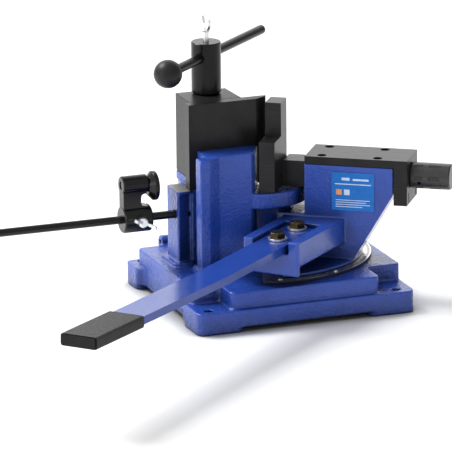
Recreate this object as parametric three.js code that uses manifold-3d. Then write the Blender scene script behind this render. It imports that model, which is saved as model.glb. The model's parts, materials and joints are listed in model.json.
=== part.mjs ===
// Bench-top metal bender: a cast base with a fixed former and clamp, a swinging arm with a
// bending jaw, a hand lever and a length stop on a rod.
// Millimetres, +Z up. While modelling, the front left corner of the foot is the zero point;
// at the end the whole machine is moved so that zero is under the middle of its box.
import * as THREE from "three";
import { mergeVertices } from "three/addons/utils/BufferGeometryUtils.js";
import Module from "manifold-3d";

const wasm = await Module();
wasm.setup();

// ---------------------------------------------------------------- driving dimensions
const GAP = 0.3;
const BASE_WIDTH = 284;
const BASE_DEPTH = 263;
const FOOT_HEIGHT = 6;
const FLANGE_TOP = 28;
const STEP_TOP = 49;
const COLUMN_TOP = 193;
const SHELF_TOP = 141;
const SHELF_BOTTOM = 121.7;
const SHELF_RADIUS = 60;
const RIB_TOP = 192;
const BACK_WALL_TOP = 152.7;
const LIFT_EYE_HEIGHT = 51;
const PIVOT = [140, 160];
const PIN_RADIUS = 14;
const LEDGE_TOP = 142.7;
const FORMER_TOP = 251;
const ARM_ANGLE = -34.6;
const ARM_HALF = 30;
const ARM_TOP = 176;
const RAM_HALF = 15.5;
const RAM_BOTTOM = 142;
const RAM_TOP = 175;
const SPINDLE_HEIGHT = 161;
const SOCKET_ANGLE = 42;
const SOCKET_FLOOR = 93.5;
const SOCKET_TOP = 108.5;
const SOCKET_BOTTOM = 78;
const SKIRT_BOTTOM = 66;
const LEVER_WIDTH = 42;
const LEVER_THICKNESS = 10;
const CLAMP_AXIS = [86, 199.5];
const T_BAR_HEIGHT = 298;
const T_BAR_ANGLE = 42.5;
const ROD_HEIGHT = 112.5;
const ROD_LINE = 156.3;
const ROD_RADIUS = 5;
const STOP_EYE_HEIGHT = 156;
const SCALE_RADIUS = 138.6;

// ---------------------------------------------------------------- finishes
const finish = (color, roughness, metalness) =>
  new THREE.MeshStandardMaterial({ color, roughness, metalness });
const bluePaint = finish(0x2c3c96, 0.4, 0.1);
const blackSteel = finish(0x2e2d2b, 0.4, 0.6);
const darkGrip = finish(0x2b2c30, 0.7, 0.0);
const brightSteel = finish(0xb9bcc0, 0.3, 0.9);
const yellowZinc = finish(0x7a6c34, 0.35, 0.8);
const bronze = finish(0x9a7238, 0.4, 0.8);
const whiteScale = finish(0xe8e6df, 0.5, 0.0);
const blueLabel = finish(0x1f7fd0, 0.5, 0.0);

// ---------------------------------------------------------------- frames
const rad = THREE.MathUtils.degToRad;

// A frame at a point, its first axis turned by an angle in the floor plane.
function floorFrame(x, y, angle) {
  return new THREE.Matrix4().makeRotationZ(rad(angle)).setPosition(x, y, 0);
}

// Local x, y and z laid along the named directions of the frame.
function facing(frame, x, y, z) {
  const turn = new THREE.Matrix4().makeBasis(
    new THREE.Vector3(...x),
    new THREE.Vector3(...y),
    new THREE.Vector3(...z),
  );
  return frame.clone().multiply(turn);
}

function shifted(frame, x, y, z) {
  return frame.clone().multiply(new THREE.Matrix4().makeTranslation(x, y, z));
}

const world = new THREE.Matrix4();
const pivot = floorFrame(...PIVOT, 0);
const arm = floorFrame(...PIVOT, ARM_ANGLE);
const clamp = floorFrame(...CLAMP_AXIS, 0);
const rightward = facing(world, [0, 1, 0], [0, 0, 1], [1, 0, 0]);
const frontward = facing(world, [1, 0, 0], [0, 0, 1], [0, -1, 0]);
const armSide = facing(arm, [1, 0, 0], [0, 0, 1], [0, -1, 0]);
const armOut = facing(arm, [0, 1, 0], [0, 0, 1], [1, 0, 0]);

// ---------------------------------------------------------------- solids
function solid(geometry, frame = world) {
  geometry.deleteAttribute("normal");
  geometry.deleteAttribute("uv");
  const merged = mergeVertices(geometry.applyMatrix4(frame), 1e-4);
  const source = merged.index.array;
  const corners = [];
  for (let i = 0; i < source.length; i += 3) {
    const [a, b, c] = [source[i], source[i + 1], source[i + 2]];
    if (a !== b && b !== c && a !== c) corners.push(a, b, c);
  }
  const made = build(merged, corners);
  return made.volume() < 0 ? build(merged, corners.reverse()) : made;
}

function build(geometry, corners) {
  return new wasm.Manifold(
    new wasm.Mesh({
      numProp: 3,
      vertProperties: geometry.attributes.position.array,
      triVerts: new Uint32Array(corners),
    }),
  );
}

const join = (...pieces) => pieces.reduce((all, piece) => all.add(piece));
const cut = (body, ...tools) => tools.reduce((left, tool) => left.subtract(tool), body);

// An outline pushed from one level to another along the frame's third axis.
function prism(outline, low, high, frame = world) {
  const shape = new THREE.Shape(outline.map(([x, y]) => new THREE.Vector2(x, y)));
  const geometry = new THREE.ExtrudeGeometry(shape, {
    depth: high - low,
    bevelEnabled: false,
    steps: 1,
  });
  return solid(geometry.translate(0, 0, low), frame);
}

const block = (x0, x1, y0, y1, z0, z1, frame = world) =>
  prism([[x0, y0], [x1, y0], [x1, y1], [x0, y1]], z0, z1, frame);

// A profile of [radius, level] points spun about the frame's third axis.
function spun(profile, frame = world, sides = 28) {
  const points = profile.map(([r, z]) => new THREE.Vector2(r, z));
  const geometry = new THREE.LatheGeometry(points, sides);
  return solid(geometry.rotateX(Math.PI / 2), frame);
}

const drum = (radius, low, high, frame = world, sides = 28) =>
  spun([[0, low], [radius, low], [radius, high], [0, high]], frame, sides);

const ring = (inner, outer, low, high, frame = world, sides = 28) =>
  spun(
    [[inner, low], [outer, low], [outer, high], [inner, high], [inner, low]],
    frame,
    sides,
  );

// A drum with its two rims bevelled.
const softDrum = (radius, low, high, bevel, frame = world, sides = 28) =>
  spun(
    [
      [0, low],
      [radius - bevel, low],
      [radius, low + bevel],
      [radius, high - bevel],
      [radius - bevel, high],
      [0, high],
    ],
    frame,
    sides,
  );

// The outline with every corner rounded by its own radius (third number, or the common one).
function rounded(corners, common, steps = 4) {
  const out = [];
  corners.forEach(([x, y, own], i) => {
    const radius = own ?? common;
    const here = new THREE.Vector2(x, y);
    const before = corners[(i + corners.length - 1) % corners.length];
    const after = corners[(i + 1) % corners.length];
    if (!radius) {
      out.push([x, y]);
      return;
    }
    const start = here.clone().add(toward(here, before, radius));
    const end = here.clone().add(toward(here, after, radius));
    for (let k = 0; k <= steps; k++) {
      const t = k / steps;
      const p = start.clone().multiplyScalar((1 - t) ** 2);
      p.addScaledVector(here, 2 * t * (1 - t)).addScaledVector(end, t ** 2);
      out.push([p.x, p.y]);
    }
  });
  return out;
}

const toward = (from, to, length) =>
  new THREE.Vector2(to[0], to[1]).sub(from).setLength(length);

// A ring sector between two angles, as an outline.
function sector(inner, outer, from, to, steps) {
  const arc = (radius, a, b) =>
    Array.from({ length: steps + 1 }, (_, i) => {
      const angle = rad(a + ((b - a) * i) / steps);
      return [radius * Math.cos(angle), radius * Math.sin(angle)];
    });
  return [...arc(outer, from, to), ...arc(inner, to, from)];
}

const hexagon = (acrossFlats) =>
  Array.from({ length: 6 }, (_, i) => {
    const angle = rad(60 * i + 30);
    const reach = acrossFlats / Math.sqrt(3);
    return [reach * Math.cos(angle), reach * Math.sin(angle)];
  });

// ---------------------------------------------------------------- named meshes
const machine = new THREE.Group();

function node(name, body, material) {
  const mesh = body.getMesh();
  const geometry = new THREE.BufferGeometry();
  const stride = mesh.numProp;
  const points = new Float32Array(mesh.numVert * 3);
  for (let i = 0; i < mesh.numVert; i++) {
    points.set(mesh.vertProperties.subarray(i * stride, i * stride + 3), i * 3);
  }
  geometry.setAttribute("position", new THREE.BufferAttribute(points, 3));
  geometry.setIndex(new THREE.BufferAttribute(mesh.triVerts, 1));
  const flat = geometry.toNonIndexed();
  flat.computeVertexNormals();
  const made = new THREE.Mesh(flat, material);
  made.name = name;
  machine.add(made);
}

// ---------------------------------------------------------------- base casting
const footprint = rounded(
  [
    [0, 0, 12],
    [BASE_WIDTH, 0, 12],
    [BASE_WIDTH, BASE_DEPTH, 12],
    [224, BASE_DEPTH, 6],
    [224, 246, 6],
    [60, 246, 6],
    [60, BASE_DEPTH, 6],
    [-1.5, BASE_DEPTH, 10],
    [-1.5, 220, 5],
    [7, 216, 5],
    [7, 64, 5],
    [0, 60, 5],
  ],
  0,
  3,
);
const stepOutline = rounded(
  [
    [45, 6.8, 8],
    [239.5, 6.8, 8],
    [239.5, 51, 5],
    [BASE_WIDTH, 51, 6],
    [BASE_WIDTH, 241, 12],
    [7, 241, 8],
    [7, 46, 8],
    [45, 46, 5],
  ],
  0,
  3,
);
const feet = [
  [0, 60, 0, 58],
  [223, BASE_WIDTH, 0, 58],
  [-1.5, 58, 220, BASE_DEPTH],
  [223, BASE_WIDTH, 220, BASE_DEPTH],
].map(([x0, x1, y0, y1]) => {
  const pad = [[x0, y0], [x1, y0], [x1, y1], [x0, y1]];
  return prism(rounded(pad, 10, 3), 0, FOOT_HEIGHT + 1);
});
const roomColumns = [[20, 73], [83, 136], [146, 199], [209, 264]];
const roomRows = [[17, 62], [72, 117], [127, 172], [182, 229]];
const coreRooms = roomColumns.flatMap(([x0, x1], column) =>
  roomRows
    .filter((_, row) => !(row === 0 && (column === 0 || column === 3)))
    .filter((_, row) => !(row === 2 && (column === 1 || column === 2)))
    .map(([y0, y1]) => block(x0, x1, y0, y1, -1, 37)),
);
const holeSpots = [[18, 14], [263, 14], [17, 252], [266, 252]];
const anchorHoles = holeSpots.map(([x, y]) =>
  drum(5.5, -1, FLANGE_TOP + 1, floorFrame(x, y, 0), 20),
);
const columnOutline = [
  [40.5, 98.5],
  [52.5, 98.5],
  [68.5, 108],
  [110, 107.5],
  [116, 112],
  [126, 138],
  [128, 147],
  [128, 161],
  [112, 178],
  [108, 214],
  [52, 214],
  [46, 186],
  [46, 147],
  [54, 146],
  [54, 134],
  [46, 133],
  [46, 126],
  [54, 125],
  [54, 118],
  [40.5, 116.5],
];
const upperOutline = [
  [53, 112],
  [68.5, 108],
  [110, 107.5],
  [116, 112],
  [129.5, 138],
  [132.5, 146.7],
  [53, 146.7],
];
const ribOutline = [
  [40.5, 98.5],
  [52.5, 98.5],
  [67, 107.1],
  [66, 112],
  [60, 116.5],
  [40.5, 116.5],
];
const backWall = [[50, 161.5], [112, 161.5], [108, 214], [50, 214]];
const bossWall = [[27, 145], [46, 145], [46, 186], [27, 186]];
const bossFoot = [[20, 138], [48, 138], [48, 192], [20, 192]];
const pinBore = drum(PIN_RADIUS + GAP, 16, 200, pivot, 28);
const clampBore = drum(11 + GAP, 95, 200, clamp, 24);
const liftEye = shifted(rightward, 250, LIFT_EYE_HEIGHT, 0);
const bossPocket = [[28.5, 144], [45.9, 144], [45.9, 150.9], [43.5, 150.9], [28.5, 145.3]];
const baseBody = join(
  prism(footprint, FOOT_HEIGHT, FLANGE_TOP),
  ...feet,
  prism(stepOutline, FLANGE_TOP - 1, STEP_TOP),
  prism(columnOutline, STEP_TOP - 1, LEDGE_TOP),
  prism(upperOutline, LEDGE_TOP - 1, COLUMN_TOP),
  prism(ribOutline, LEDGE_TOP - 1, RIB_TOP),
  prism(backWall, LEDGE_TOP - 1, BACK_WALL_TOP),
  prism(rounded(bossWall, 3, 2), STEP_TOP - 1, LEDGE_TOP),
  prism(rounded(bossFoot, 6, 2), STEP_TOP - 1, STEP_TOP + 4),
  softDrum(SHELF_RADIUS, SHELF_BOTTOM, SHELF_TOP, 1, pivot, 48),
  block(40.5, 51.5, 242, 258, FLANGE_TOP - 1, LIFT_EYE_HEIGHT),
  drum(8, 40.5, 51.5, liftEye, 20),
);
const base = cut(
  baseBody,
  ...coreRooms,
  ...anchorHoles,
  drum(49, STEP_TOP, SHELF_BOTTOM, pivot, 32),
  block(62, 88, 118, 140, -1, 176),
  prism(bossPocket, 54, 139.3),
  pinBore,
  clampBore,
  drum(3, 39, 53, liftEye, 16),
  drum(ROD_RADIUS + GAP, 20, 86, shifted(rightward, ROD_LINE, ROD_HEIGHT, 0), 20),
  drum(3 + GAP, -147, -130, shifted(frontward, 70, 168, 0), 12),
  drum(3 + GAP, -147, -130, shifted(frontward, 104, 168, 0), 12),
  drum(3 + GAP, PIN_RADIUS, SHELF_RADIUS + 2, pinScrewFrame(), 12),
  drum(3 + GAP, -190, -160, shifted(frontward, 38, ROD_HEIGHT, 0), 12),
);
node("base_casting", base, bluePaint);

function pinScrewFrame() {
  const turned = floorFrame(...PIVOT, 65);
  return shifted(facing(turned, [0, 1, 0], [0, 0, 1], [1, 0, 0]), 0, 131, 0);
}

// ---------------------------------------------------------------- former
const formerOutline = [
  [43.3, 147],
  [129, 147],
  [134, 148.4],
  [139.5, 151.2],
  [145, 155],
  [149, 159],
  [149, 161],
  [43.3, 161],
];
const formerCountersink = [
  [0, -162],
  [6.6, -162],
  [6.6, -160],
  [3 + GAP, -156.5],
  [3 + GAP, -146],
  [0, -146],
];
const formerScrewProfile = [
  [0, -160.4],
  [6, -160.4],
  [6, -159.8],
  [2.9, -156.4],
  [2.9, -132],
  [0, -132],
];
const formerScrews = [70, 104].map((x) => shifted(frontward, x, 168, 0));
const former = cut(
  prism(formerOutline, LEDGE_TOP + GAP, FORMER_TOP),
  ...formerScrews.map((frame) => spun(formerCountersink, frame, 20)),
);
node("former_plate", former, blackSteel);
formerScrews.forEach((frame, i) => {
  const screw = cut(
    spun(formerScrewProfile, frame, 20),
    prism(hexagon(4), -161, -157.6, frame),
  );
  node("former_screw_" + (i + 1), screw, brightSteel);
});

// ---------------------------------------------------------------- pivot
node(
  "king_pin",
  cut(
    softDrum(PIN_RADIUS, 16.4, 140.6, 1.5, pivot, 28),
    drum(3 + GAP, PIN_RADIUS - 3, PIN_RADIUS + 2, pinScrewFrame(), 12),
  ),
  brightSteel,
);
node(
  "pin_set_screw",
  cut(
    drum(2.8, PIN_RADIUS - 2, SHELF_RADIUS - 14, pinScrewFrame(), 12),
    prism(hexagon(3), SHELF_RADIUS - 17, SHELF_RADIUS - 12, pinScrewFrame()),
  ),
  blackSteel,
);
node("thrust_washer", ring(PIN_RADIUS + GAP, 34, STEP_TOP + GAP, 52.6, pivot, 28), bronze);

const scaleFrom = -109;
const scaleTo = 30;
const scaleOutline = sector(38, SCALE_RADIUS, scaleFrom, scaleTo, 28);
const rivetAngles = [-100, -67, 20];
const rivetFrames = rivetAngles.map((angle) =>
  shifted(floorFrame(...PIVOT, angle), 134, 0, 0),
);
node(
  "scale_plate",
  cut(
    prism(scaleOutline, STEP_TOP + GAP, 52.4, pivot),
    ...rivetFrames.map((frame) => drum(1.5 + GAP, 40, 60, frame, 12)),
  ),
  whiteScale,
);
const rivetProfile = [
  [0, STEP_TOP + GAP],
  [1.5, STEP_TOP + GAP],
  [1.5, 52.7],
  [2.8, 52.7],
  [2.2, 53.9],
  [0, 54.2],
];
rivetFrames.forEach((frame, i) => {
  node("scale_rivet_" + (i + 1), spun(rivetProfile, frame, 12), brightSteel);
});

// ---------------------------------------------------------------- clamp
const clampSlot = rounded(
  [[-11.6, -19.6, 11], [11.6, -19.6, 11], [11.6, 11.6, 11], [-11.6, 11.6, 11]],
  0,
  5,
);
node(
  "clamp_block",
  cut(
    prism([[50, 161.4], [117.6, 161.4], [115.6, 213], [50, 213]], 153, FORMER_TOP),
    prism(clampSlot, 150, 260, clamp),
  ),
  blackSteel,
);
const tBarPlan = floorFrame(...CLAMP_AXIS, T_BAR_ANGLE);
const tBar = shifted(facing(tBarPlan, [0, 1, 0], [0, 0, 1], [1, 0, 0]), 0, T_BAR_HEIGHT, 0);
node(
  "clamp_spindle",
  cut(
    spun(
      [
        [0, 96],
        [9.5, 96],
        [11, 97.5],
        [11, 251.6],
        [16.5, 251.6],
        [18.5, 253.6],
        [18.5, 315.6],
        [17.6, 316.5],
        [0, 316.5],
      ],
      clamp,
      32,
    ),
    drum(6 + GAP, -30, 30, tBar, 24),
    drum(3.75 + GAP, 304, 320, clamp, 20),
  ),
  blackSteel,
);
const barEnd = 155;
const ballCentre = -101.4;
const BALL_RADIUS = 17.7;
const tBarProfile = [
  [0, ballCentre - 4],
  [4, ballCentre - 4],
  [4, -87],
  [6, -85],
  [6, barEnd - 3.5],
  [4.5, barEnd - 0.8],
  [0, barEnd],
];
node("t_bar", spun(tBarProfile, tBar, 20), blackSteel);
const ballProfile = Array.from({ length: 13 }, (_, i) => {
  const angle = -Math.PI / 2 + (Math.PI * i) / 12;
  return [BALL_RADIUS * Math.cos(angle), ballCentre + BALL_RADIUS * Math.sin(angle)];
});
ballProfile[0][0] = 0;
ballProfile[12][0] = 0;
node(
  "ball_knob",
  cut(
    spun(ballProfile, tBar, 24),
    drum(4 + GAP, ballCentre - 4.5, -70, tBar, 20),
    drum(6 + GAP, -87.4, -70, tBar, 20),
  ),
  blackSteel,
);

// A wing screw: shank, collar and two ears spread along the frame's first axis.
const earOutline = [
  [1, 1.5],
  [6, 2],
  [13.5, 7.5],
  [15.5, 12.5],
  [14.8, 17.2],
  [11.8, 18],
  [9.6, 15.5],
  [6.6, 9.5],
  [1, 8],
];
function wingScrew(frame, tip, seat) {
  const upright = facing(shifted(frame, 0, 0, seat), [1, 0, 0], [0, 0, 1], [0, -1, 0]);
  const ears = [-1, 1].map((side) => {
    const outline = earOutline.map(([x, y]) => [side * x, y]);
    return prism(rounded(outline, 1.4, 2), -1.7, 1.7, upright);
  });
  const shank = drum(3.75, tip, seat + 3, frame, 16);
  return join(shank, softDrum(6, seat, seat + 8, 1.2, frame, 20), ...ears);
}
node("hub_wing_screw", wingScrew(floorFrame(...CLAMP_AXIS, -92), 304.6, 329), brightSteel);

// ---------------------------------------------------------------- swing arm
const HUB_RADIUS = 42;
const HUB_TOP = 121.1;
const HUB_BOTTOM = 53;
const FLANGE_RADIUS = 128;
const SLOT_BOTTOM = RAM_BOTTOM - GAP;
const profile = rounded(
  [
    [64.5, 112, 4],
    [64.5, ARM_TOP - 0.6, 0],
    [ARM_TOP, ARM_TOP - 0.6, 0],
    [ARM_TOP, 140.8, 4],
    [130.7, 64.3, 8],
    [124.5, HUB_BOTTOM, 3],
    [20, HUB_BOTTOM, 0],
    [20, 112, 0],
  ],
  0,
  4,
);
const socket = floorFrame(123.4, -15.5, SOCKET_ANGLE);
const socketSkirt = [[0, 0], [6.5, 0], [6.5, 75.6], [0, 75.6]];
const socketRecess = [[-5, 14], [88, 14], [88, 61.6], [-5, 61.6]];
const socketWall = [
  [0, 0],
  [142, 0],
  [142, 40],
  [110, 75.6],
  [0, 75.6],
];
const lever = floorFrame(97.3, 13.65, 41.5);
const boltSpots = [21.6, 73.6];
const socketBody = cut(
  join(
    prism(rounded(socketWall, 3, 2), SOCKET_BOTTOM, SOCKET_TOP, socket),
    prism(rounded(socketSkirt, 2, 2), SKIRT_BOTTOM, SOCKET_BOTTOM + 3, socket),
  ),
  prism(socketRecess, SOCKET_FLOOR, 130, socket),
);
const capSpots = [[85, -21], [85, 21], [155.3, -21], [155.3, 21]];
const armBody = join(
  prism(profile, -ARM_HALF, ARM_HALF, armSide),
  drum(HUB_RADIUS, HUB_BOTTOM, HUB_TOP, pivot, 32),
  prism(sector(30, FLANGE_RADIUS, -98, -19, 20), HUB_BOTTOM, 56.6, pivot),
  cut(socketBody, drum(20, 40, 130, pivot, 16)),
);
const swingArm = cut(
  armBody,
  drum(50.5, HUB_TOP, 123, pivot, 32),
  drum(18 + GAP, 40, 130, pivot, 28),
  block(60, 180, -RAM_HALF - GAP, RAM_HALF + GAP, SLOT_BOTTOM, 180, arm),
  ...boltSpots.map((spot) => drum(6 + GAP, 80, 110, shifted(lever, spot, 0, 0), 16)),
  ...capSpots.map(([s, n]) => drum(2.5 + GAP, 158, 180, shifted(arm, s, n, 0), 12)),
);
node("swing_arm", swingArm, bluePaint);
node("hub_bush_lower", ring(PIN_RADIUS + GAP, 18, HUB_BOTTOM, 74, pivot, 28), bronze);
node("hub_bush_upper", ring(PIN_RADIUS + GAP, 18, 100, HUB_TOP, pivot, 28), bronze);

// ---------------------------------------------------------------- guide cap, ram and jaw
const CAP_TOP = 185.4;
const CAP_BOTTOM = 175.7;
const CAP_END = 194;
const spindleFrame = shifted(armOut, 0, SPINDLE_HEIGHT, 0);
const capCountersink = [[0, 170], [2.8, 170], [2.8, 179.4], [5.6, 182.4], [5.6, 190], [0, 190]];
const capScrewProfile = [
  [0, 160],
  [2.5, 160],
  [2.5, 179.6],
  [5.2, 182.4],
  [5.2, 183.6],
  [0, 183.6],
];
const capProfile = [
  [64.9, CAP_BOTTOM],
  [ARM_TOP + 1, CAP_BOTTOM],
  [ARM_TOP + 1, 128.5],
  [CAP_END, 128.5],
  [CAP_END, CAP_TOP],
  [64.9, CAP_TOP],
];
node(
  "guide_cap",
  cut(
    prism(capProfile, -ARM_HALF, ARM_HALF, armSide),
    drum(6 + GAP, 170, 200, spindleFrame, 24),
    drum(10 + GAP, 170, 185, spindleFrame, 24),
    block(191, 196, -21, -18, 131, 143, arm),
    block(191, 196, 18, 21, 131, 143, arm),
    ...capSpots.map(([s, n]) => spun(capCountersink, shifted(arm, s, n, 0), 20)),
  ),
  blackSteel,
);
capSpots.forEach(([s, n], i) => {
  const frame = shifted(arm, s, n, 0);
  const screw = cut(spun(capScrewProfile, frame, 16), prism(hexagon(4), 181, 186, frame));
  node("cap_screw_" + (i + 1), screw, blackSteel);
});

const ramProfile = [
  [32.3, RAM_BOTTOM],
  [146, RAM_BOTTOM],
  [146, RAM_TOP],
  [34.8, RAM_TOP],
  [32.3, RAM_TOP - 2.5],
];
const JAW_FACE = 12;
const JAW_BACK = 32;
const jawCountersink = [[0, 10], [6.4, 10], [6.4, 16.6], [3 + GAP, 20], [3 + GAP, 40], [0, 40]];
const jawScrewProfile = [[0, 15.2], [6, 15.2], [6, 16.6], [2.9, 20.2], [2.9, 54], [0, 54]];
const jawScrewLevels = [150, 167];
const jawScrewFrames = jawScrewLevels.map((z) => shifted(armOut, -4, z, 0));
node(
  "ram_bar",
  cut(
    prism(ramProfile, -RAM_HALF, RAM_HALF, armSide),
    drum(6 + GAP, 64, 150, spindleFrame, 20),
    ...jawScrewFrames.map((frame) => drum(3 + GAP, 30, 58, frame, 12)),
  ),
  blackSteel,
);
node(
  "bending_jaw",
  cut(
    join(
      block(JAW_FACE, JAW_BACK, -50, 14, RAM_BOTTOM, 205, arm),
      block(JAW_FACE, JAW_BACK, -15, 14, RAM_BOTTOM, 247, arm),
    ),
    ...jawScrewFrames.map((frame) => spun(jawCountersink, frame, 16)),
  ),
  blackSteel,
);
jawScrewFrames.forEach((frame, i) => {
  const screw = cut(spun(jawScrewProfile, frame, 16), prism(hexagon(4), 14, 18, frame));
  node("jaw_screw_" + (i + 1), screw, blackSteel);
});

node(
  "adjusting_spindle",
  cut(softDrum(6, 96, 236, 1, spindleFrame, 24), drum(1.8, 3, 8, thimbleScrewFrame(), 12)),
  brightSteel,
);
node("thrust_collar", ring(6 + GAP, 10, 177.2, 184.6, spindleFrame, 24), brightSteel);

// The grub screw points from the near side of the thimble, a little from below.
function thimbleScrewFrame() {
  const lean = rad(23);
  const away = [0, -Math.cos(lean), -Math.sin(lean)];
  const across = [0, Math.sin(lean), -Math.cos(lean)];
  return facing(shifted(arm, 206, 0, SPINDLE_HEIGHT), [1, 0, 0], across, away);
}

const fluteRows = [[200, 210], [217.5, 231.5]];
const flutes = fluteRows.flatMap(([from, to]) =>
  Array.from({ length: 6 }, (_, i) => {
    const angle = rad(60 * i);
    const [across, up] = [17.2 * Math.cos(angle), 17.2 * Math.sin(angle)];
    return drum(2.6, from, to, shifted(spindleFrame, across, up, 0), 12);
  }),
);
node(
  "thimble",
  cut(
    spun(
      [
        [0, 194.3],
        [15.4, 194.3],
        [16.2, 195.1],
        [16.2, 242.4],
        [15, 243.8],
        [0, 243.8],
      ],
      spindleFrame,
      32,
    ),
    drum(6 + GAP, 190, 236.5, spindleFrame, 24),
    drum(2 + GAP, 5, 20, thimbleScrewFrame(), 12),
    ...flutes,
  ),
  blackSteel,
);
node(
  "thimble_set_screw",
  cut(drum(1.6, 3.6, 13.5, thimbleScrewFrame(), 12), prism(hexagon(1.6), 11, 15, thimbleScrewFrame())),
  blackSteel,
);

node(
  "label_plate",
  prism(
    rounded([[99.3, 119], [153, 119], [153, 167.6], [99.3, 167.6]], 2, 2),
    ARM_HALF + GAP,
    ARM_HALF + 0.9,
    armSide,
  ),
  blueLabel,
);

// ---------------------------------------------------------------- lever
const leverSide = facing(lever, [1, 0, 0], [0, 0, 1], [0, -1, 0]);
const LEVER_BOTTOM = SOCKET_FLOOR + GAP;
const LEVER_REACH = 462;
const LEVER_RISE = 9;
const leverProfile = [
  [84.5, LEVER_BOTTOM],
  [84.5, LEVER_BOTTOM + LEVER_THICKNESS],
  [-150, LEVER_BOTTOM + LEVER_THICKNESS],
  [-250, LEVER_BOTTOM + LEVER_THICKNESS + 2.2],
  [-LEVER_REACH, LEVER_BOTTOM + LEVER_THICKNESS + LEVER_RISE],
  [-LEVER_REACH, LEVER_BOTTOM + LEVER_RISE],
  [-250, LEVER_BOTTOM + 2.2],
  [-150, LEVER_BOTTOM],
];
node(
  "lever_bar",
  cut(
    prism(leverProfile, -LEVER_WIDTH / 2, LEVER_WIDTH / 2, leverSide),
    ...boltSpots.map((spot) => drum(6 + GAP, 90, 110, shifted(lever, spot, 0, 0), 16)),
  ),
  bluePaint,
);
const gripTilt = Math.atan2(LEVER_RISE - 2.2, LEVER_REACH - 250);
const gripHeight = LEVER_BOTTOM + LEVER_RISE + LEVER_THICKNESS / 2;
const gripFrame = shifted(leverSide, -LEVER_REACH, gripHeight, 0).multiply(
  new THREE.Matrix4().makeRotationZ(-gripTilt),
);
const gripLength = 113.6;
const gripSection = rounded([[-24, -7.5], [24, -7.5], [24, 7.5], [-24, 7.5]], 3.5, 3);
const gripAlong = facing(gripFrame, [0, 0, 1], [0, 1, 0], [-1, 0, 0]);
node(
  "lever_grip",
  cut(
    join(
      prism(gripSection, -(gripLength - 10.6), 8.6, gripAlong),
      prism(rounded([[-22.5, -6.2], [22.5, -6.2], [22.5, 6.2], [-22.5, 6.2]], 3, 3), 8.5, 10.6, gripAlong),
    ),
    prism(
      [
        [-21 - GAP, -LEVER_THICKNESS / 2 - GAP],
        [21 + GAP, -LEVER_THICKNESS / 2 - GAP],
        [21 + GAP, LEVER_THICKNESS / 2 + GAP],
        [-21 - GAP, LEVER_THICKNESS / 2 + GAP],
      ],
      -140,
      1,
      gripAlong,
    ),
  ),
  darkGrip,
);
boltSpots.forEach((spot, i) => {
  const frame = shifted(lever, spot, 0, 0);
  const top = LEVER_BOTTOM + LEVER_THICKNESS + GAP;
  node("lever_washer_" + (i + 1), ring(6 + GAP, 12, top, top + 2.5, frame, 24), brightSteel);
  const head = prism(hexagon(18), top + 2.8, top + 10, shifted(frame, 0, 0, 0));
  const dome = spun(
    [[0, top + 2], [10.6, top + 2], [10.6, top + 8.6], [8.6, top + 10.2], [0, top + 10.2]],
    frame,
    32,
  );
  const shank = drum(6, 80.5, top + 4, frame, 20);
  node("lever_bolt_" + (i + 1), join(head.intersect(dome), shank), yellowZinc);
});

// ---------------------------------------------------------------- length stop
const rodFrame = shifted(rightward, ROD_LINE, ROD_HEIGHT, 0);
node("stop_rod", softDrum(ROD_RADIUS, -258, 62, 1, rodFrame, 20), blackSteel);
node(
  "rod_set_screw",
  cut(
    drum(2.9, -186, -162.2, shifted(frontward, 38, ROD_HEIGHT, 0), 12),
    prism(hexagon(3), -187, -183, shifted(frontward, 38, ROD_HEIGHT, 0)),
  ),
  blackSteel,
);
const eyeFrame = shifted(rightward, ROD_LINE, STOP_EYE_HEIGHT, 0);
const stopWing = shifted(frontward, -22.5, ROD_HEIGHT, 0).multiply(
  new THREE.Matrix4().makeRotationZ(rad(-23)),
);
const stopSide = shifted(frontward, 0, 0, -ROD_LINE);
const stopWeb = rounded(
  [
    [-42.5, ROD_HEIGHT + 8],
    [-9, ROD_HEIGHT + 8],
    [-9, ROD_HEIGHT + 16.8, 3],
    [-19.5, ROD_HEIGHT + 16.8, 5],
    [-19.5, STOP_EYE_HEIGHT - 11.3, 5],
    [-12, STOP_EYE_HEIGHT - 11.3, 3],
    [-12, STOP_EYE_HEIGHT - 5],
    [-42.5, STOP_EYE_HEIGHT - 5],
  ],
  0,
  3,
);
node(
  "stop_body",
  cut(
    join(
      softDrum(17, -43, -6.5, 1.5, rodFrame, 28),
      softDrum(11.5, -43, -10, 1.2, eyeFrame, 28),
      prism(stopWeb, -8, 8, stopSide),
      drum(8, -138.4, -150, stopWing, 20),
    ),
    drum(ROD_RADIUS + GAP, -60, 10, rodFrame, 24),
    drum(5 + GAP, -60, 10, eyeFrame, 24),
    drum(3.75 + GAP, -152, -130, stopWing, 16),
  ),
  blackSteel,
);
node(
  "stop_pin",
  join(
    drum(5, -42, -4, eyeFrame, 20),
    spun(
      [[0, -9.6], [11.3, -9.6], [13.4, -7.4], [18.3, -3], [18.3, 1.4], [17.4, 2.2], [0, 2.2]],
      shifted(eyeFrame, 0, -4, 0),
      32,
    ),
  ),
  blackSteel,
);
node("stop_wing_screw", wingScrew(stopWing, -150.9, -137.6), brightSteel);

// ---------------------------------------------------------------- common frame
const box = new THREE.Box3().setFromObject(machine);
const middle = box.getCenter(new THREE.Vector3());
machine.position.set(-middle.x, -middle.y, -box.min.z);

const part = new THREE.Group();
part.name = "metal_bender";
part.add(machine);
export default part;
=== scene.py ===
import json
import math

import bmesh
import bpy
from mathutils import Matrix, Vector, noise

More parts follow.
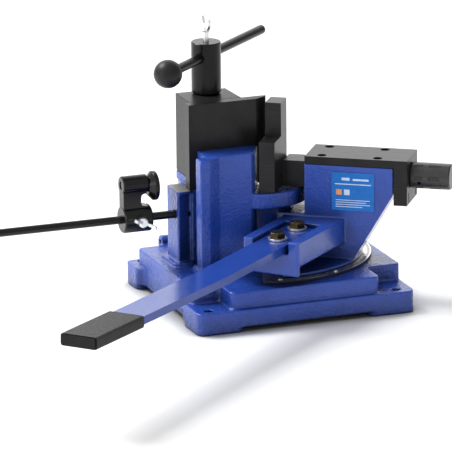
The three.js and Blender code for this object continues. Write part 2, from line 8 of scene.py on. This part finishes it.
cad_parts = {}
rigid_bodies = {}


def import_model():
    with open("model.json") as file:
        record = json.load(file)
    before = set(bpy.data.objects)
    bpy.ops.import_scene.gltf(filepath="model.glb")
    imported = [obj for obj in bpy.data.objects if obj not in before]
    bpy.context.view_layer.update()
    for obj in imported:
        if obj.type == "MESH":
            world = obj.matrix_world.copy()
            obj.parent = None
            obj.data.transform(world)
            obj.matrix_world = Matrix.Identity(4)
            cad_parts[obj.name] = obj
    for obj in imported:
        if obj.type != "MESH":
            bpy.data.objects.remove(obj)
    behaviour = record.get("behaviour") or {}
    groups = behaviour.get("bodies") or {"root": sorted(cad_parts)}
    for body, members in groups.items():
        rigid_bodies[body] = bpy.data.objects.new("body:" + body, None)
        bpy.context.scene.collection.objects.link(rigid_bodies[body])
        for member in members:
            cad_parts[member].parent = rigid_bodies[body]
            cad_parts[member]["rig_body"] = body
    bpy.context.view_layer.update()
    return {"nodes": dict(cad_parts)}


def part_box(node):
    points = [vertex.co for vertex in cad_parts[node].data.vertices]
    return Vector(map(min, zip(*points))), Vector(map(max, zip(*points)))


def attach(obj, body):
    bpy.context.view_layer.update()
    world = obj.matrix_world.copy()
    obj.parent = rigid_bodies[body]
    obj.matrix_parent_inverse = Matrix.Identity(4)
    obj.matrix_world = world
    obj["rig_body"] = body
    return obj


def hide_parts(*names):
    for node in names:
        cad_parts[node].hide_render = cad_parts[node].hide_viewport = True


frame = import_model()

nodes = frame["nodes"]
body_of = {name: made["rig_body"] for name, made in nodes.items()}
MM = 0.001

# Places are in millimetres from the front left corner of the foot. The box of the base starts a
# little to the left of that corner, because the rear lug stands out past the foot.
REAR_LUG = 1.5
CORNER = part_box("base_casting")[0] + Vector((REAR_LUG * MM, 0.0, 0.0))
PIVOT = (140.0, 160.0)
ARM_ANGLE = math.radians(-34.6)
STEP_TOP = 49.0


def at(x, y, z):
    """A place on the machine, in the metres of the frame."""
    return CORNER + Vector((x, y, z)) * MM


def floor_frame(x, y, z, angle=0.0):
    """Axes at a place on the machine, turned in the floor plane."""
    return Matrix.Translation(at(x, y, z)) @ Matrix.Rotation(angle, 4, "Z")


def local(matrix, x, y, z):
    """A place given in millimetres along a frame's own axes."""
    return matrix @ (Vector((x, y, z)) * MM)


arm_frame = floor_frame(*PIVOT, 0.0, ARM_ANGLE)


# ---------------------------------------------------------------- camera
VIEW_AZIMUTH = math.radians(-20.301)
VIEW_ELEVATION = math.radians(15.703)
VIEW_ROLL = math.radians(0.579)
VIEW_DISTANCE = 6.9718
VIEW_AIM = at(93.064, 153.46, 90.683)
LENS = 448.27
SENSOR = 36.0
CLIP_NEAR = 0.1
CLIP_FAR = 200.0


def make_camera():
    data = bpy.data.cameras.new("camera")
    data.sensor_width = SENSOR
    data.lens = LENS
    data.clip_start = CLIP_NEAR
    data.clip_end = CLIP_FAR
    camera = bpy.data.objects.new("camera", data)
    back = Vector(
        (
            math.sin(VIEW_AZIMUTH) * math.cos(VIEW_ELEVATION),
            -math.cos(VIEW_AZIMUTH) * math.cos(VIEW_ELEVATION),
            math.sin(VIEW_ELEVATION),
        )
    )
    right = Vector((math.cos(VIEW_AZIMUTH), math.sin(VIEW_AZIMUTH), 0.0))
    up = back.cross(right)
    turned = Matrix((right, up, back)).transposed()
    turned = turned @ Matrix.Rotation(-VIEW_ROLL, 3, "Z")
    camera.matrix_world = Matrix.Translation(VIEW_AIM + back * VIEW_DISTANCE) @ turned.to_4x4()
    bpy.context.scene.collection.objects.link(camera)
    bpy.context.scene.camera = camera


# ---------------------------------------------------------------- light
# A glow of the room: its direction, the cosine where it starts, the strength there, the strength
# in its middle.
BACK_GLOW = ((0.334, 0.903, 0.27), 0.55, 0.0, 1.35)
LEFT_GLOW = ((-0.8, -0.35, 0.25), -1.0, 0.26, 0.84)
LAMP_AIM = Vector((0.0, 0.0, 0.1))


def make_lamp(name, place, size, power):
    data = bpy.data.lights.new(name, "AREA")
    data.shape = "RECTANGLE"
    data.size, data.size_y = size
    data.energy = power
    lamp = bpy.data.objects.new(name, data)
    lamp.location = place
    aim = LAMP_AIM - Vector(place)
    lamp.rotation_euler = aim.to_track_quat("-Z", "Y").to_euler()
    lamp.visible_camera = False
    bpy.context.scene.collection.objects.link(lamp)


def make_surroundings():
    """A white room, brightest low behind the machine and brighter on its left than on its right."""
    world = bpy.data.worlds.new("studio")
    bpy.context.scene.world = world
    world.use_nodes = True
    tree = world.node_tree
    background = tree.nodes["Background"]
    background.inputs["Color"].default_value = (1.0, 1.0, 1.0, 1.0)
    place = tree.nodes.new("ShaderNodeTexCoord")

    def toward(direction, start, low, high):
        dot = tree.nodes.new("ShaderNodeVectorMath")
        dot.operation = "DOT_PRODUCT"
        dot.inputs[1].default_value = Vector(direction).normalized()
        spread = tree.nodes.new("ShaderNodeMapRange")
        spread.interpolation_type = "SMOOTHSTEP"
        spread.inputs["From Min"].default_value = start
        spread.inputs["From Max"].default_value = 1.0
        spread.inputs["To Min"].default_value = low
        spread.inputs["To Max"].default_value = high
        tree.links.new(place.outputs["Generated"], dot.inputs[0])
        tree.links.new(dot.outputs["Value"], spread.inputs["Value"])
        return spread.outputs["Result"]

    total = tree.nodes.new("ShaderNodeMath")
    total.operation = "ADD"
    for socket, glow in zip(total.inputs, (BACK_GLOW, LEFT_GLOW)):
        tree.links.new(toward(*glow), socket)
    tree.links.new(total.outputs["Value"], background.inputs["Strength"])


make_camera()
make_surroundings()
make_lamp("key", place=(-1.15, 1.25, 2.3), size=(1.0, 1.0), power=66.0)
make_lamp("left_fill", place=(-2.4, -0.6, 0.9), size=(1.0, 1.4), power=8.0)
bpy.context.scene.view_settings.view_transform = "Standard"


# ---------------------------------------------------------------- procedural materials
# The shares of open sky over a point that count as a deep corner and as an open face.
CLOSED_SHARE = 0.35
OPEN_SHARE = 0.9
SKY_SAMPLES = 8


class Finish:
    """A material whose pattern is laid out in the object's own space."""

    def __init__(self, name, roughness=0.5, metallic=0.0):
        self.made = bpy.data.materials.new(name)
        self.made.use_nodes = True
        self.tree = self.made.node_tree
        self.shader = self.tree.nodes["Principled BSDF"]
        self.shader.inputs["Roughness"].default_value = roughness
        self.shader.inputs["Metallic"].default_value = metallic
        self.place = self.add("ShaderNodeTexCoord").outputs["Object"]
        self.normal = None

    def add(self, kind, **settings):
        node = self.tree.nodes.new(kind)
        for key, value in settings.items():
            setattr(node, key, value)
        return node

    def feed(self, socket, value):
        if hasattr(value, "is_output"):
            self.tree.links.new(value, socket)
        else:
            socket.default_value = value

    def set(self, **sockets):
        for key, value in sockets.items():
            self.feed(self.shader.inputs[key.replace("_", " ")], value)

    def stretched(self, scale, angle):
        """The pattern's space, turned in the floor plane and then scaled along its axes."""
        turned = self.add("ShaderNodeMapping")
        self.feed(turned.inputs["Vector"], self.place)
        turned.inputs["Rotation"].default_value = (0.0, 0.0, -angle)
        scaled = self.add("ShaderNodeMapping")
        self.feed(scaled.inputs["Vector"], turned.outputs["Vector"])
        scaled.inputs["Scale"].default_value = scale
        return scaled.outputs["Vector"]

    def noise(self, size_mm, detail=2.0, place=None):
        """Smooth noise, its lumps about size_mm across."""
        node = self.add("ShaderNodeTexNoise")
        self.feed(node.inputs["Vector"], place or self.place)
        node.inputs["Scale"].default_value = 1.0 / (size_mm * MM)
        node.inputs["Detail"].default_value = detail
        return node.outputs["Fac"]

    def spread(self, value, low, high, start=0.3, end=0.7):
        node = self.add("ShaderNodeMapRange")
        self.feed(node.inputs["Value"], value)
        node.inputs["From Min"].default_value = start
        node.inputs["From Max"].default_value = end
        node.inputs["To Min"].default_value = low
        node.inputs["To Max"].default_value = high
        return node.outputs["Result"]

    def mottle(self, size_mm, low=0.0, high=1.0, detail=2.0, place=None):
        """Soft patches that wander between two values."""
        return self.spread(self.noise(size_mm, detail, place), low, high)

    def blend(self, value, first, second):
        node = self.add("ShaderNodeMix", data_type="RGBA")
        self.feed(node.inputs["Factor"], value)
        colours = [socket for socket in node.inputs if socket.type == "RGBA"]
        self.feed(colours[0], as_colour(first))
        self.feed(colours[1], as_colour(second))
        return next(socket for socket in node.outputs if socket.type == "RGBA")

    def openness(self, reach_mm):
        """From 0 in a deep corner to 1 on an open face, seen over a reach round each point."""
        node = self.add("ShaderNodeAmbientOcclusion", samples=SKY_SAMPLES)
        node.inputs["Distance"].default_value = reach_mm * MM
        return self.spread(node.outputs["AO"], 0.0, 1.0, start=CLOSED_SHARE, end=OPEN_SHARE)

    def bump(self, height, depth_mm, strength):
        """Adds one layer of relief to the layers before it."""
        node = self.add("ShaderNodeBump")
        node.inputs["Strength"].default_value = strength
        node.inputs["Distance"].default_value = depth_mm * MM
        self.feed(node.inputs["Height"], height)
        if self.normal is not None:
            self.feed(node.inputs["Normal"], self.normal)
        self.normal = node.outputs["Normal"]
        self.feed(self.shader.inputs["Normal"], self.normal)


def as_colour(value):
    return value if hasattr(value, "is_output") else (*value, 1.0)


CAST_TONES = ((0.018, 0.062, 0.35), (0.025, 0.076, 0.42))
BAR_TONES = ((0.014, 0.050, 0.29), (0.017, 0.057, 0.33))
# Painted shade: in deep corners the enamel's colour drops to this share of its darker tone, judged
# over this reach in millimetres.
PAINTED_SHADE_SHARE = 0.3
PAINTED_SHADE_REACH = 45.0


def enamel(name, roughness, waves, grain, tones=CAST_TONES, specular=0.5):
    """Blue enamel with painted shade that darkens its recesses; waves and grain are (size, depth)
    in millimetres.
    """
    made = Finish(name)
    low, high = tones
    wave_size, wave_depth = waves
    grain_size, grain_depth = grain
    open_paint = made.blend(made.mottle(38.0, detail=3.0), low, high)
    # Painted shade: deep corners get a darker copy of the paint's tone, by how little open sky each
    # point sees.
    painted_shade_tone = tuple(c * PAINTED_SHADE_SHARE for c in low)
    made.set(Base_Color=made.blend(made.openness(PAINTED_SHADE_REACH), painted_shade_tone, open_paint))
    made.set(Roughness=made.mottle(9.0, roughness, roughness + 0.08))
    made.set(Specular_IOR_Level=specular)
    made.bump(made.noise(wave_size, detail=1.0), depth_mm=wave_depth, strength=0.6)
    made.bump(made.noise(grain_size), depth_mm=grain_depth, strength=1.0)
    return made.made


# The pattern's scale along x, y and z. A small scale draws it out into lines along that axis.
CUT_SCALE = 0.04
CUT_ALONG = {
    "x": (CUT_SCALE, 1.0, 1.0),
    "y": (1.0, CUT_SCALE, 1.0),
    "z": (1.0, 1.0, CUT_SCALE),
}


def black_steel(name, along, tone, roughness, specular=0.25, angle=0.0):
    """Blackened machined steel with fine cutter lines along one axis."""
    made = Finish(name)
    drawn = made.stretched(CUT_ALONG[along], angle)
    low = (tone * 0.8, tone * 0.8, tone * 0.85)
    high = (tone * 1.5, tone * 1.45, tone * 1.4)
    made.set(Base_Color=made.blend(made.mottle(24.0, detail=3.0), low, high))
    made.set(Roughness=made.mottle(0.9, roughness - 0.05, roughness + 0.08, place=drawn))
    made.set(Specular_IOR_Level=specular)
    made.bump(made.noise(0.7, detail=1.0, place=drawn), depth_mm=0.03, strength=0.5)
    made.bump(made.noise(16.0, detail=1.0), depth_mm=0.25, strength=0.3)
    return made.made


def grip_rubber(name, dark, light):
    made = Finish(name)
    made.set(Base_Color=made.blend(made.mottle(12.0, detail=3.0), dark, light))
    made.set(Roughness=made.mottle(3.0, 0.4, 0.52))
    made.set(Specular_IOR_Level=0.2)
    made.bump(made.noise(1.4, detail=1.0), depth_mm=0.08, strength=0.5)
    made.bump(made.noise(0.4, detail=1.0), depth_mm=0.03, strength=0.5)
    return made.made


def bare_metal(name, dark, light, roughness, relief_mm=0.05):
    made = Finish(name, metallic=1.0)
    made.set(Base_Color=made.blend(made.mottle(5.0, detail=3.0), dark, light))
    made.set(Roughness=made.mottle(0.6, roughness - 0.05, roughness + 0.07))
    made.bump(made.noise(0.5, detail=1.0), depth_mm=relief_mm, strength=0.4)
    return made.made


def print_ink(name, colour):
    made = Finish(name)
    made.set(Specular_IOR_Level=0.25)
    lighter = tuple(min(1.0, c * 1.15 + 0.005) for c in colour)
    made.set(Base_Color=made.blend(made.mottle(6.0), colour, lighter))
    made.set(Roughness=made.mottle(1.5, 0.35, 0.45))
    made.bump(made.noise(0.8, detail=1.0), depth_mm=0.01, strength=0.4)
    return made.made


CAST_BLUE = enamel("cast_blue_enamel", 0.19, waves=(12.0, 0.6), grain=(3.4, 1.1))
ARM_BLUE = enamel("arm_blue_enamel", 0.16, waves=(13.0, 0.4), grain=(3.4, 0.35))
BAR_BLUE = enamel("bar_blue_enamel", 0.12, (24.0, 0.2), (3.0, 0.05), BAR_TONES, specular=0.34)
PLATE_BLACK = black_steel("plate_black", "z", tone=0.010, roughness=0.32)
BLOCK_BLACK = black_steel("block_black", "x", tone=0.011, roughness=0.34)
ARM_BLACK = black_steel("arm_black_steel", "x", tone=0.011, roughness=0.3, angle=ARM_ANGLE)
STOP_BLACK = black_steel("stop_black_gloss", "y", tone=0.004, roughness=0.16, specular=0.32)
TURNED_BLACK = black_steel("turned_black", "z", tone=0.005, roughness=0.22, specular=0.22)
BALL_BLACK = black_steel("ball_black", "z", tone=0.010, roughness=0.4, specular=0.3)
THIMBLE_BLACK = black_steel("thimble_black", "z", tone=0.018, roughness=0.28, specular=0.6)
GRIP = grip_rubber("grip_rubber", (0.008, 0.008, 0.009), (0.013, 0.013, 0.015))
SILVER = bare_metal("bright_plate", (0.88, 0.88, 0.87), (0.96, 0.96, 0.95), 0.36)
GROUND = bare_metal("ground_cast_iron", (0.20, 0.20, 0.19), (0.30, 0.30, 0.28), 0.5)
BRONZE = bare_metal("bronze", (0.44, 0.29, 0.13), (0.55, 0.36, 0.16), 0.3)
YELLOW = bare_metal("yellow_passivate", (0.07, 0.055, 0.025), (0.13, 0.105, 0.05), 0.26)
SCALE = bare_metal("scale_polished", (0.74, 0.73, 0.70), (0.86, 0.85, 0.82), 0.26, relief_mm=0.01)
# The dark ink prints the scale's marks and also paints shade on the scale plate's rim.
INK_AND_RIM_SHADE = print_ink("scale_ink_and_rim_shade", (0.02, 0.02, 0.022))
LABEL_BLUE = print_ink("label_blue", (0.010, 0.15, 0.52))
LABEL_WHITE = print_ink("label_white", (0.55, 0.66, 0.82))
LABEL_ORANGE = print_ink("label_orange", (0.75, 0.30, 0.10))


# ---------------------------------------------------------------- shaping helpers
# Lengths are in millimetres. A skin keeps this share of its faces.
WELD_DISTANCE = 0.02
FLAT_ANGLE = math.radians(1.0)
EDGE_ANGLE = math.radians(28.0)
EDGE_SEGMENTS = 3
FLAT_FACE_WEIGHT = 90
SKIN_ROUNDS = 3
SKIN_ROUNDING = 0.5
SKIN_KEPT = 0.3


def coat(mesh, *finishes):
    """Gives a mesh its materials in place of any it has."""
    mesh.materials.clear()
    for finish in finishes:
        mesh.materials.append(finish)


def own_mesh(name, mesh, body, finishes, stands_for=()):
    made = bpy.data.objects.new(name, mesh)
    bpy.context.scene.collection.objects.link(made)
    coat(mesh, *finishes)
    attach(made, body)
    if stands_for:
        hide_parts(*stands_for)
    return made


def applied(made):
    """Runs an object's modifiers and keeps the mesh that they make."""
    graph = bpy.context.evaluated_depsgraph_get()
    mesh = bpy.data.meshes.new_from_object(made.evaluated_get(graph), depsgraph=graph)
    made.modifiers.clear()
    old = made.data
    made.data = mesh
    bpy.data.meshes.remove(old)


def smooth_faces(mesh):
    mesh.polygons.foreach_set("use_smooth", [True] * len(mesh.polygons))


def mesh_from(work, name):
    mesh = bpy.data.meshes.new(name)
    work.to_mesh(mesh)
    work.free()
    return mesh


def welded(node):
    """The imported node's faces, joined along their edges."""
    work = bmesh.new()
    work.from_mesh(nodes[node].data)
    bmesh.ops.remove_doubles(work, verts=work.verts, dist=WELD_DISTANCE * MM)
    return work


def bevelled(node, width_mm, finishes):
    """A machined part: whole flat faces, smooth turned faces and softened edges."""
    work = welded(node)
    bmesh.ops.dissolve_limit(work, angle_limit=FLAT_ANGLE, verts=work.verts, edges=work.edges)
    bmesh.ops.recalc_face_normals(work, faces=work.faces)
    mesh = mesh_from(work, node)
    made = own_mesh(node + "_finished", mesh, body_of[node], finishes, [node])
    smooth_faces(mesh)
    bevel = made.modifiers.new("edges", "BEVEL")
    bevel.width = width_mm * MM
    bevel.segments = EDGE_SEGMENTS
    bevel.limit_method = "ANGLE"
    bevel.angle_limit = EDGE_ANGLE
    bevel.miter_outer = "MITER_ARC"
    flat = made.modifiers.new("flat_faces", "WEIGHTED_NORMAL")
    flat.mode = "FACE_AREA"
    flat.weight = FLAT_FACE_WEIGHT
    flat.keep_sharp = True
    return made


def wavy(mesh, size_mm, depth_mm):
    """Moves each point along its normal by smooth noise, as a casting's skin does."""
    shifts = []
    for vertex in mesh.vertices:
        height = noise.noise(vertex.co / (size_mm * MM))
        shifts.append(vertex.co + vertex.normal * height * depth_mm * MM)
    for vertex, place in zip(mesh.vertices, shifts):
        vertex.co = place
    mesh.update()


def cast_skin(node, voxel_mm, wave, finishes, extras=()):
    """A casting: one skin over the node and its fillets, with rounded edges and corners."""
    work = welded(node)
    for extra in extras:
        work.from_mesh(extra)
    mesh = mesh_from(work, node + "_skin")
    made = own_mesh(node + "_cast", mesh, body_of[node], finishes, [node])
    skin = made.modifiers.new("skin", "REMESH")
    skin.mode = "VOXEL"
    skin.voxel_size = voxel_mm * MM
    skin.use_smooth_shade = True
    rounding = made.modifiers.new("round", "SMOOTH")
    rounding.factor = SKIN_ROUNDING
    rounding.iterations = SKIN_ROUNDS
    applied(made)
    wavy(made.data, *wave)
    thin = made.modifiers.new("thin", "DECIMATE")
    thin.ratio = SKIN_KEPT
    applied(made)
    coat(made.data, *finishes)
    smooth_faces(made.data)
    return made


# ---------------------------------------------------------------- base casting
COLUMN_FOOT = [
    (40.5, 125.0),
    (40.5, 98.5),
    (52.5, 98.5),
    (68.5, 108.0),
    (110.0, 107.5),
    (116.0, 112.0),
    (120.0, 122.0),
]
FILLET_SIZE = 6.0
FILLET_SINK = 3.0
FILLET_OVERLAP = 1.0
# The middle of the hollow face, as shares of the fillet's width and height.
FILLET_HOLLOW = (0.35, 0.3)
BASE_VOXEL = 1.15
BASE_WAVE = (5.0, 0.16)
BASE_FINISHES = [CAST_BLUE, GROUND]
# A box round the bare top face of the boss, and how level a face must be to belong to it.
SEAT_LOW = at(24.0, 144.0, 141.8)
SEAT_HIGH = at(46.8, 187.0, 143.4)
SEAT_LEVEL = 0.9


def fillet_section(foot, out):
    """The corners of a hollow fillet, from its sunken heel round to the wall."""
    down = Vector((0, 0, FILLET_SINK))
    up = Vector((0, 0, FILLET_SIZE))
    reach, rise = FILLET_HOLLOW
    return [
        foot - out * FILLET_SINK - down,
        foot + out * FILLET_SIZE - down,
        foot + out * FILLET_SIZE,
        foot + out * (FILLET_SIZE * reach) + Vector((0, 0, FILLET_SIZE * rise)),
        foot + up,
        foot - out * FILLET_SINK + up,
    ]


def fillet_along(points, level):
    """Fillets at the foot of a wall, one along each stretch of its line."""
    work = bmesh.new()
    for (x0, y0), (x1, y1) in zip(points, points[1:]):
        along = Vector((x1 - x0, y1 - y0, 0.0)).normalized()
        out = Vector((along.y, -along.x, 0.0))
        first = Vector((x0, y0, level)) - along * FILLET_OVERLAP
        last = Vector((x1, y1, level)) + along * FILLET_OVERLAP
        rows = [
            [work.verts.new(CORNER + p * MM) for p in fillet_section(foot, out)]
            for foot in (first, last)
        ]
        count = len(rows[0])
        for i in range(count):
            j = (i + 1) % count
            work.faces.new((rows[0][i], rows[0][j], rows[1][j], rows[1][i]))
        work.faces.new(rows[0][::-1])
        work.faces.new(rows[1])
    bmesh.ops.recalc_face_normals(work, faces=work.faces)
    return mesh_from(work, "fillet")


def in_seat(face):
    inside = all(SEAT_LOW[i] < face.center[i] < SEAT_HIGH[i] for i in range(3))
    return inside and face.normal.z > SEAT_LEVEL


fillet = fillet_along(COLUMN_FOOT, STEP_TOP)
base = cast_skin(
    "base_casting", BASE_VOXEL, BASE_WAVE, BASE_FINISHES, extras=[fillet]
)
bpy.data.meshes.remove(fillet)
for face in base.data.polygons:
    if in_seat(face):
        face.material_index = BASE_FINISHES.index(GROUND)

# ---------------------------------------------------------------- arm casting
ARM_VOXEL = 0.9
ARM_WAVE = (16.0, 0.12)
cast_skin("swing_arm", ARM_VOXEL, ARM_WAVE, [ARM_BLUE])


# ---------------------------------------------------------------- machined parts
def numbered(stem, count):
    return [f"{stem}_{number}" for number in range(1, count + 1)]


# Nodes, the width of their softened edges in millimetres, their finish and their slot.
MACHINED = [
    (["former_plate"], 0.7, PLATE_BLACK, "black_steel"),
    (["clamp_block"], 0.7, BLOCK_BLACK, "black_steel"),
    (["clamp_spindle"], 0.8, TURNED_BLACK, "black_steel"),
    (["t_bar"], 0.5, TURNED_BLACK, "black_steel"),
    (["ball_knob"], 0.4, BALL_BLACK, "black_steel"),
    (["guide_cap"], 0.9, ARM_BLACK, "black_steel"),
    (["ram_bar", "bending_jaw"], 0.6, ARM_BLACK, "black_steel"),
    (["thimble"], 0.4, THIMBLE_BLACK, "black_steel"),
    (["stop_rod"], 0.4, STOP_BLACK, "black_steel"),
    (["stop_body"], 1.0, STOP_BLACK, "black_steel"),
    (["stop_pin"], 0.6, STOP_BLACK, "black_steel"),
    (["lever_bar"], 0.8, BAR_BLUE, "blue_paint"),
    (["lever_grip"], 1.2, GRIP, "dark_grip"),
    (numbered("lever_bolt", 2), 0.4, YELLOW, "yellow_zinc"),
    (numbered("lever_washer", 2), 0.3, SILVER, "bright_steel"),
    (["hub_wing_screw", "stop_wing_screw"], 0.7, SILVER, "bright_steel"),
    (["label_plate"], 0.15, LABEL_BLUE, "blue_label"),
    (numbered("former_screw", 2), 0.25, SILVER, "bright_steel"),
    (numbered("cap_screw", 4), 0.25, TURNED_BLACK, "black_steel"),
    (numbered("jaw_screw", 2), 0.25, TURNED_BLACK, "black_steel"),
    (numbered("scale_rivet", 3), 0.2, SILVER, "bright_steel"),
]
for names, width, finish, slot in MACHINED:
    for name in names:
        bevelled(name, width, [finish])

# ---------------------------------------------------------------- nodes shown as packed
SHOWN_AS_PACKED = {
    "king_pin": SILVER,
    "pin_set_screw": TURNED_BLACK,
    "thrust_washer": BRONZE,
    "hub_bush_lower": BRONZE,
    "hub_bush_upper": BRONZE,
    "adjusting_spindle": SILVER,
    "thrust_collar": SILVER,
    "thimble_set_screw": TURNED_BLACK,
    "rod_set_screw": TURNED_BLACK,
}
for name, finish in SHOWN_AS_PACKED.items():
    coat(nodes[name].data, finish)

# ---------------------------------------------------------------- angle scale
SCALE_TOP = 52.4
SCALE_EDGE = 137.6
RIM_GAP = 0.8
FIRST_MARK, LAST_MARK = -107, 28
MARK_HEIGHT = 0.12
MARK_SINK = 0.1
# The degrees at which a mark stands, its length and its half width; the first row that fits counts.
MARK_SIZES = [(10, 9.0, 0.3), (5, 6.5, 0.2), (1, 4.0, 0.2)]
SCALE_FINISHES = [SCALE, INK_AND_RIM_SHADE]
UPWARD = 0.5


def boxes_mesh(name, boxes):
    """One mesh of thin boxes, each given as a matrix and two opposite corners."""
    work = bmesh.new()
    for matrix, low, high in boxes:
        corners = [
            work.verts.new(local(matrix, x, y, z))
            for z in (low[2], high[2])
            for x, y in ((low[0], low[1]), (high[0], low[1]), (high[0], high[1]), (low[0], high[1]))
        ]
        work.faces.new(corners[3::-1])
        work.faces.new(corners[4:])
        for i in range(4):
            j = (i + 1) % 4
            work.faces.new((corners[i], corners[j], corners[j + 4], corners[i + 4]))
    bmesh.ops.recalc_face_normals(work, faces=work.faces)
    return mesh_from(work, name)


def scale_mark(degrees):
    length, half = next(size for every, *size in MARK_SIZES if degrees % every == 0)
    turned = floor_frame(*PIVOT, 0.0, math.radians(degrees))
    low = (SCALE_EDGE - length, -half, SCALE_TOP - MARK_SINK)
    high = (SCALE_EDGE - RIM_GAP, half, SCALE_TOP + MARK_HEIGHT)
    return turned, low, high


scale = bevelled("scale_plate", 0.3, SCALE_FINISHES)
# Faces that don't face up get the dark ink as painted shade on the plate's rim; the top keeps the
# polished metal.
for face in scale.data.polygons:
    face.material_index = SCALE_FINISHES.index(SCALE if face.normal.z > UPWARD else INK_AND_RIM_SHADE)
marks = boxes_mesh("scale_marks", [scale_mark(step) for step in range(FIRST_MARK, LAST_MARK + 1)])
own_mesh("scale_marks", marks, "base", [INK_AND_RIM_SHADE])

# ---------------------------------------------------------------- print on the label
LABEL_FACE = -30.9
PRINT_RISE = 0.06
PRINT_SINK = 0.2
LINE_TOP = 132.0
LINE_STEP = 2.8
LINE_HEIGHT = 0.9
LINE_LEFT = 104.5
LINE_RIGHTS = (147.5, 143.0, 148.0, 138.0)
# Shapes are (left, low, right, high) in the arm's own axes.
PALE_SHAPES = [
    (112.0, 157.5, 122.0, 161.0),
    (126.0, 157.5, 146.0, 160.0),
    (103.5, 152.2, 149.0, 153.4),
    (115.0, 139.0, 122.0, 146.0),
]
ORANGE_SHAPES = [(105.0, 139.0, 112.0, 146.0)]


def small_lines():
    lows = [LINE_TOP - LINE_STEP * row for row in range(len(LINE_RIGHTS))]
    return [(LINE_LEFT, low, right, low + LINE_HEIGHT) for low, right in zip(lows, LINE_RIGHTS)]


def label_print(name, shapes, finish):
    """Flat shapes on the label's face: no words and no figures, only bars and squares."""
    boxes = [
        (arm_frame, (left, LABEL_FACE - PRINT_RISE, low), (right, LABEL_FACE + PRINT_SINK, high))
        for left, low, right, high in shapes
    ]
    own_mesh(name, boxes_mesh(name, boxes), "arm", [finish])


label_print("label_pale_bars", PALE_SHAPES + small_lines(), LABEL_WHITE)
label_print("label_orange_square", ORANGE_SHAPES, LABEL_ORANGE)

# ---------------------------------------------------------------- floor
FLOOR_HALF = 30.0
FLOOR_CELLS = 4
FLOOR_WHITE = (0.95, 0.95, 0.95)
# Painted contact shadow: the floor's colour where something stands close over it, and the reach in
# millimetres over which that is judged.
PAINTED_CONTACT_SHADOW = (0.22, 0.22, 0.22)
PAINTED_SHADOW_REACH = 40.0


def make_floor():
    """A white floor with a painted contact shadow, darker where something stands close over it."""
    work = bmesh.new()
    bmesh.ops.create_grid(work, x_segments=FLOOR_CELLS, y_segments=FLOOR_CELLS, size=FLOOR_HALF)
    mesh = mesh_from(work, "floor")
    finish = Finish("floor_white", roughness=0.6)
    # Painted shadow: the floor darkens near the foot, by how little open sky each point sees.
    painted_shadow_mask = finish.openness(PAINTED_SHADOW_REACH)
    finish.set(Base_Color=finish.blend(painted_shadow_mask, PAINTED_CONTACT_SHADOW, FLOOR_WHITE))
    finish.set(Specular_IOR_Level=0.1)
    coat(mesh, finish.made)
    floor = bpy.data.objects.new("floor", mesh)
    bpy.context.scene.collection.objects.link(floor)


make_floor()
